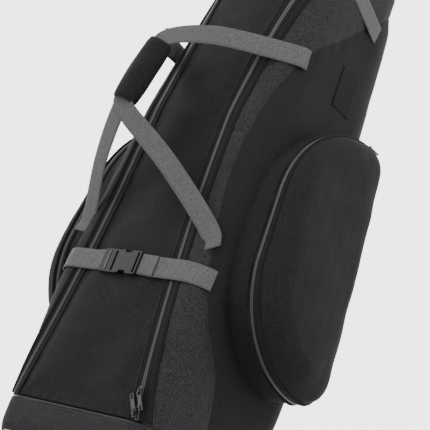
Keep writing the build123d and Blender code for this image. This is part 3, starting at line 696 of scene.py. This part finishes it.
left_loop = ribbon_between(
    "handle_webbing_left",
    [
        low_left_end,
        low_left,
        (-118, -210, 515),
        WRAP_LOW + (-6, 4, -10),
        WRAP_LOW + WRAP_AXIS * IN_WRAP + (0, 4, 0),
        WRAP_HIGH - WRAP_AXIS * IN_WRAP + (0, 4, 0),
        WRAP_HIGH + (-4, 6, 10),
        (-96, -216, 768),
        high_left,
        high_left_end,
    ],
    [
        (1, 0, -0.2),
        (1, 0, -0.2),
        (0.9, 0, -0.3),
        (1, 0, -0.2),
        flat_x,
        flat_x,
        (0.8, 0.1, 0.6),
        (0.2, 0, 1),
        (0, 0, 1),
        (0, 0, 1),
    ],
    webbing,
)
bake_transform(left_loop)
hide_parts("handle_loop_left")

length = np.linspace(0, 1, 60)
turn = np.linspace(0, 2 * pi, 97)
spread_x = np.cross(WRAP_AXIS, [0, -1, 0])
hem = 0.05 * np.exp(-length / 0.03) + 0.05 * np.exp(-(1 - length) / 0.03)
swell = 1 - 0.10 * (2 * length - 1) ** 6 - hem
layers = turn / (2 * pi)
radius_x = 26.0 + 3.0 * layers
radius_y = 21.5 + 3.0 * layers
base_points = WRAP_LOW + WRAP_AXIS * (length * WRAP_LENGTH)[:, None]
angle = turn + radians(205)
ring = (np.cos(angle) * radius_x)[:, None] * spread_x
ring = ring + (np.sin(angle) * radius_y)[:, None] * np.array([0, 1, 0])
wrap_points = base_points[:, None, :] + ring[None] * swell[:, None, None]
wrap_out = ring / np.linalg.norm(ring, axis=1)[:, None]
wrap_points = wrap_points + wrap_out[None] * waves(wrap_points, ((70, 0.8), (30, 0.35)), 21)[..., None]
wrap = grid_object("handle_wrap_pad", wrap_points, pocket_cloth)
thicken(wrap, 5.0, lining_cloth)
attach(wrap, "handle_right")
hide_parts("handle_wrap")

# ---- top grab handle ----
grab = ribbon_between(
    "grab_webbing",
    [
        (0, 123, 1122),
        (0, 127, 1134),
        (0, 148, 1152),
        (0, 155, 1173),
        (0, 146, 1194),
        (0, 114, 1212),
        (0, 108, 1222),
    ],
    [(1, 0, 0)] * 7,
    dark_webbing,
    width=30.0,
    thick=5.0,
)
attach(grab, "case")
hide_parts("top_grab_handle")

# ---- badge ----
badge_rows = np.linspace(758, 842, 30)
badge_y = np.linspace(-4, 48, 20)
badge_arc = arc_to_y(badge_y[None, :] + 0 * badge_rows[:, None], badge_rows[:, None])
badge_points, badge_normals = around(badge_arc, badge_rows[:, None])
badge = grid_object("side_patch", badge_points + badge_normals * 4.6, tape_cloth)
thicken(badge, 1.0)
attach(badge, "case")
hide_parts("side_badge")

# ---- side pockets ----
MIDDLE = np.array([0, 12.5, 468.5])
HALF_Y, HALF_Z = 117.5, 251.5
RIM_X, RIM_LEAN = 236, 0.1
RIM_RISE = 2.7  # where the lid's cloth starts, off the rim plane
RING_STEPS = 260
CROWN_INSET = 36
CROWN_RISE = 45.6
# Each profile runs across a band on the rim: inset from the outline, height off the rim plane.
LID_TEETH = [(3.4, 0.05), (1.8, 0.7), (1.5, 1.6), (2.2, 2.6), (3.2, 3)]
WALL_TEETH = [(3.4, -3), (2.2, -2.6), (1.5, -1.6), (1.8, -0.7), (3.4, -0.05)]
LID_PIPING = [(3.6, 7), (0.8, 8), (0, 10), (0.8, 12), (6, 13)]
WALL_PIPING = [(3.6, -13), (0.4, -12), (-0.6, -10), (0.4, -8), (3.6, -7)]


def pocket_ring(inset):
    """Outline points of the pocket, drawn in by inset, from the middle of the back round the top."""
    front_r, back_r = max(190 - inset, 1), max(42 - inset, 1)
    y0, y1, z1 = -HALF_Y + inset, HALF_Y - inset, HALF_Z - inset
    pieces = []
    t = np.linspace(0, pi / 2, 60)
    pieces.append(np.stack([np.full(30, y1), np.linspace(0, z1 - back_r, 30, endpoint=False)], 1))
    pieces.append(np.stack([y1 - back_r + back_r * np.cos(t), z1 - back_r + back_r * np.sin(t)], 1))
    pieces.append(np.stack([y0 + front_r - front_r * np.sin(t), z1 - front_r + front_r * np.cos(t)], 1))
    upper = np.vstack(pieces + [np.array([[y0, 0.0]])])
    lower = (upper * np.array([1, -1]))[::-1][1:-1]
    loop = np.vstack([upper, lower])
    closed = np.vstack([loop, loop[:1]])
    length = np.concatenate([[0], np.cumsum(np.linalg.norm(np.diff(closed, axis=0), axis=1))])
    spaced = np.linspace(0, length[-1], RING_STEPS, endpoint=False)
    return np.stack([np.interp(spaced, length, closed[:, k]) for k in (0, 1)], 1)


def pocket_points(direction, distance, lean, flat, rise):
    """Points of a pocket section from its flat outline, its plane, and its height off that plane."""
    normal = np.array([direction, 0, lean])
    normal = normal / np.linalg.norm(normal)
    up = np.array([-direction * lean, 0, 1.0])
    up = up / np.linalg.norm(up)
    origin = MIDDLE + np.array([direction * distance, 0, 0])
    points = origin + flat[..., :1] * np.array([0, 1.0, 0]) + flat[..., 1:] * up
    return points + normal * np.asarray(rise)[..., None]


def rounder(flat, share):
    """The outline drawn in toward an ellipse at its corners, by a share from 0 to 1."""
    widest = np.abs(flat).max(axis=0)
    reach = np.hypot(flat[:, 0] / widest[0], flat[:, 1] / widest[1])
    return flat / (1 + share * np.maximum(reach - 1, 0))[:, None]


def hang(flat, rise):
    """Height of the domed lid off its rim: the load inside makes it hang low and thin at the top."""
    return rise * 1.04 - (rise - RIM_RISE) / 47 * 0.1 * flat[:, 1]


for side, direction in (("right", 1), ("left", -1)):
    outer, inner = pocket_ring(0), pocket_ring(3)
    root = pocket_points(direction, 120, 0.0455, outer, np.zeros(len(outer)))
    rim = pocket_points(direction, RIM_X, RIM_LEAN, inner, np.full(len(inner), -RIM_RISE))
    share = np.linspace(0.25, 1, 34)[:, None, None]
    wall_points = root[None] * (1 - share) + rim[None] * share
    outward = np.gradient(outer, axis=0)
    outward = np.stack([outward[:, 1], -outward[:, 0]], 1)
    outward /= np.linalg.norm(outward, axis=1)[:, None]
    outward3 = np.stack([0 * outward[:, 0], outward[:, 0], outward[:, 1]], 1)
    bow = 2.5 * np.sin(np.linspace(0, pi, 34))[:, None] + waves(wall_points, ((90, 0.8), (34, 0.4)), 31)
    wall_points = wall_points + outward3[None] * bow[..., None]
    gusset = grid_object(f"pocket_wall_{side}", wall_points, pocket_cloth, closed=True, flip=direction < 0)
    thicken(gusset, 2.6, lining_cloth)
    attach(gusset, "case")
    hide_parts(f"pocket_gusset_{side}")

    insets = [3, 3.4, 5.2, 7.6, 11, 16, 22, 29, CROWN_INSET]
    rises = [RIM_RISE, 8, 16, 23, 29.5, 35.5, 40, 43.5, CROWN_RISE]
    steps = np.linspace(0, 8, 34)
    rings = []
    for step in steps:
        inset = np.interp(step, range(9), insets)
        rise = np.interp(step, range(9), rises)
        flat = rounder(pocket_ring(inset), 0.8 * max((step - 2) / 6, 0) ** 2)
        rings.append(pocket_points(direction, RIM_X, RIM_LEAN, flat, hang(flat, rise)))
    final = rounder(pocket_ring(CROWN_INSET), 0.8)
    for share_in in np.linspace(0, 1, 30)[1:]:
        flat = final * (1 - share_in) + np.array([8.0, 0]) * share_in
        rise = CROWN_RISE + 4.4 * (1 - (1 - share_in) ** 2)
        rings.append(pocket_points(direction, RIM_X, RIM_LEAN, flat, hang(flat, rise)))
    dome = np.stack(rings, 0)
    fade = np.clip(np.arange(len(rings)) / 8, 0, 1)[:, None]
    out = np.array([direction, 0, RIM_LEAN])
    dome = dome + out * (waves(dome, ((180, 1.3), (75, 0.8), (30, 0.25)), 41) * fade)[..., None]
    cover = grid_object(f"pocket_cover_{side}", dome, pocket_cloth, closed=True, flip=direction < 0)
    thicken(cover, 4.0, lining_cloth)
    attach(cover, f"pocket_lid_{side}")
    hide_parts(f"pocket_lid_{side}")

    def rim_band(name, profile, mat, body, node=None):
        """A band round the pocket's rim. Its profile gives insets and heights off the rim."""
        lines = []
        for inset, rise in profile:
            flat = pocket_ring(inset)
            height = hang(flat, rise) if rise > RIM_RISE else np.full(RING_STEPS, float(rise))
            lines.append(pocket_points(direction, RIM_X, RIM_LEAN, flat, height))
        made = grid_object(name, np.stack(lines, 0), mat, closed=True, flip=direction < 0)
        thicken(made, 0.8)
        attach(made, body)
        if node:
            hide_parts(node)
        return made

    lid_body = f"pocket_lid_{side}"
    rim_band(f"pocket_lid_teeth_{side}", LID_TEETH, coil_nylon, lid_body, f"pocket_lid_coil_{side}")
    rim_band(f"pocket_wall_teeth_{side}", WALL_TEETH, coil_nylon, "case", f"pocket_gusset_coil_{side}")
    rim_band(f"pocket_lid_piping_{side}", LID_PIPING, tape_cloth, lid_body)
    rim_band(f"pocket_wall_piping_{side}", WALL_PIPING, tape_cloth, "case")

# ---- floor pad ----
pad_ring, _ = around(np.linspace(0, float(length_round(30)), 160), np.full(160, 30.0))
pad_rings = []
# share of the case's outline, and height
pad_levels = ((0.955, 14), (0.965, 17), (0.955, 20), (0.93, 21.5), (0.6, 22.4), (0.3, 22.8), (0.02, 23))
for scale, height in pad_levels:
    ring_now = pad_ring * np.array([scale, scale, 0])
    ring_now[:, 2] = height
    pad_rings.append(ring_now)
pad = grid_object("floor_padding", np.stack(pad_rings, 0), lining_cloth)
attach(pad, "case")
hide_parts("floor_pad")

# ---- CAD pieces that show as they are ----
SHOWN = {
    "base_tray": black_plastic,
    "base_runners": black_plastic,
    "lower_buckle_female": black_plastic,
    "lower_buckle_male": black_plastic,
    "upper_buckle_female": black_plastic,
    "upper_buckle_male": black_plastic,
    "main_slider_upper": zip_black,
    "main_slider_lower": zip_black,
    "main_pull_upper": zip_black,
    "main_pull_lower": zip_black,
}
for side in ("right", "left"):
    SHOWN[f"wheel_housing_{side}"] = grey_plastic
    SHOWN[f"wheel_tyre_{side}"] = tyre_rubber
    SHOWN[f"wheel_hub_{side}"] = grey_plastic
    SHOWN[f"wheel_bearings_{side}"] = steel
    SHOWN[f"axle_{side}"] = steel
    SHOWN[f"pocket_slider_{side}"] = zip_black
    SHOWN[f"pocket_pull_{side}"] = zip_black
for name, mat in SHOWN.items():
    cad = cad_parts[name]
    cad.data.materials.clear()
    cad.data.materials.append(mat)

# ---- camera ----
AZIMUTH, ELEVATION, ROLL = radians(47.1), radians(-19.87), radians(23.1)
DISTANCE = 2992.0
SENSOR, LENS = 36.0, 133.84
TURN, TILT = radians(-1.0317), radians(-2.188)
right = np.array([cos(AZIMUTH), sin(AZIMUTH), 0])
ahead = np.array([-sin(AZIMUTH) * cos(ELEVATION), cos(AZIMUTH) * cos(ELEVATION), -sin(ELEVATION)])
above = np.cross(right, ahead)
place = np.array([0, 0, 650.0]) - ahead * DISTANCE
rolled_right = cos(ROLL) * right + sin(ROLL) * above
rolled_up = -sin(ROLL) * right + cos(ROLL) * above
aim = ahead + rolled_right * tan(TURN) + rolled_up * tan(TILT)
aim /= np.linalg.norm(aim)
side_way = rolled_right - (rolled_right @ aim) * aim
side_way /= np.linalg.norm(side_way)
up_way = np.cross(side_way, aim)
camera_data = bpy.data.cameras.new("camera")
camera_data.lens = LENS
camera_data.sensor_width = SENSOR
camera_data.clip_end = 30
camera = bpy.data.objects.new("camera", camera_data)
bpy.context.collection.objects.link(camera)
camera.matrix_world = Matrix((
    (side_way[0], up_way[0], -aim[0], place[0] * MM),
    (side_way[1], up_way[1], -aim[1], place[1] * MM),
    (side_way[2], up_way[2], -aim[2], place[2] * MM),
    (0, 0, 0, 1),
))
bpy.context.scene.camera = camera

# ---- floor, lights and surroundings ----
floor_mat, tree, shader = material("floor")
shader.inputs["Base Color"].default_value = (0.86, 0.86, 0.86, 1)
shader.inputs["Roughness"].default_value = 0.6
geometry = tree.nodes.new("ShaderNodeNewGeometry")
clear = tree.nodes.new("ShaderNodeBsdfTransparent")
mixer = tree.nodes.new("ShaderNodeMixShader")
tree.links.new(geometry.outputs["Backfacing"], mixer.inputs[0])
tree.links.new(shader.outputs[0], mixer.inputs[1])
tree.links.new(clear.outputs[0], mixer.inputs[2])
tree.links.new(mixer.outputs[0], tree.nodes["Material Output"].inputs["Surface"])
bpy.ops.mesh.primitive_plane_add(size=30, location=(0, 0, -0.001))
floor = bpy.context.object
floor.name = "floor"
floor.data.materials.append(floor_mat)

world = bpy.data.worlds.new("surroundings")
world.use_nodes = True
world.node_tree.nodes["Background"].inputs["Color"].default_value = (1, 1, 1, 1)
world.node_tree.nodes["Background"].inputs["Strength"].default_value = 3.8
bpy.context.scene.world = world


def light(name, spot, target, size, power):
    data = bpy.data.lights.new(name, "AREA")
    data.size = size
    data.energy = power
    made = bpy.data.objects.new(name, data)
    bpy.context.collection.objects.link(made)
    made.location = spot
    made.rotation_euler = (Vector(target) - Vector(spot)).to_track_quat("-Z", "Y").to_euler()
    return made


light("key", (-1.6, -3.2, 2.6), (0, 0, 0.7), 1.6, 130)
light("side", (3.2, -0.6, 2.2), (0, 0, 0.7), 1.4, 90)
light("back", (-2.0, 2.6, 2.4), (0, 0, 0.7), 1.6, 70)
